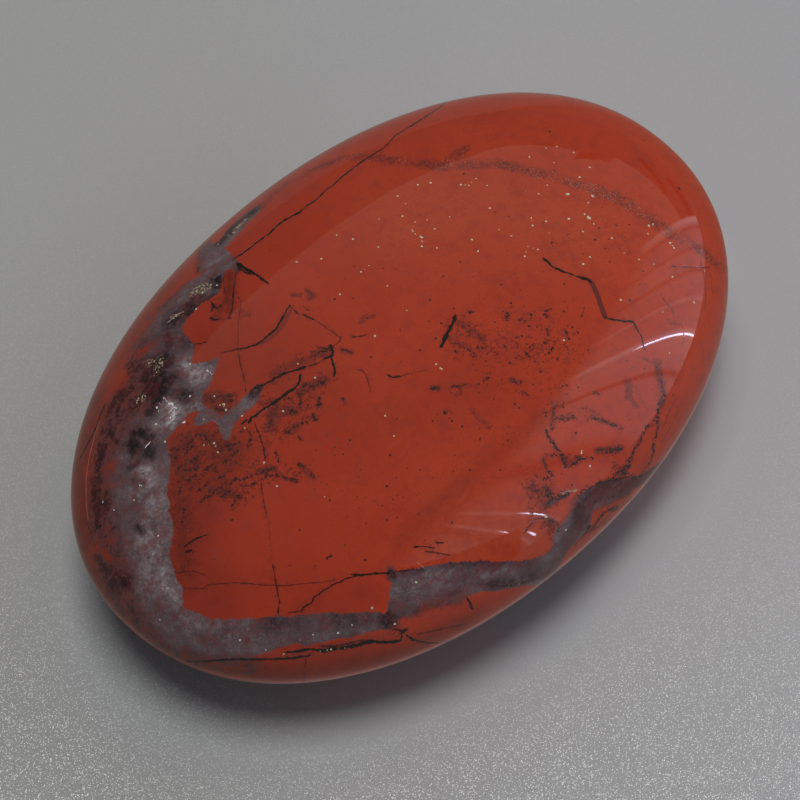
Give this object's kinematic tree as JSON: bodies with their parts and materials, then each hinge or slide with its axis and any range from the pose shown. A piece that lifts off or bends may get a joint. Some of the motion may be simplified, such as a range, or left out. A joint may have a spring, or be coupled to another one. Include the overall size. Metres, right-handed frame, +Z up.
{
  "type": "red jasper palm stone",
  "caption": "Polished oval palm stone of red jasper, domed above and below, with a grey quartz band and fine dark cracks.",
  "frame": {"origin": "under the middle of the stone's box, on the surface that it lies on", "axes": "+X along the stone's length, +Y across its width, +Z up through the crown"},
  "size_m": [0.07, 0.0462, 0.023],
  "materials": {
    "jasper": "mirror-polished brick-red jasper with grey quartz veins and black cracks"
  },
  "bodies": {
    "root": {"jasper_stone": "jasper"}
  },
  "joints": []
}
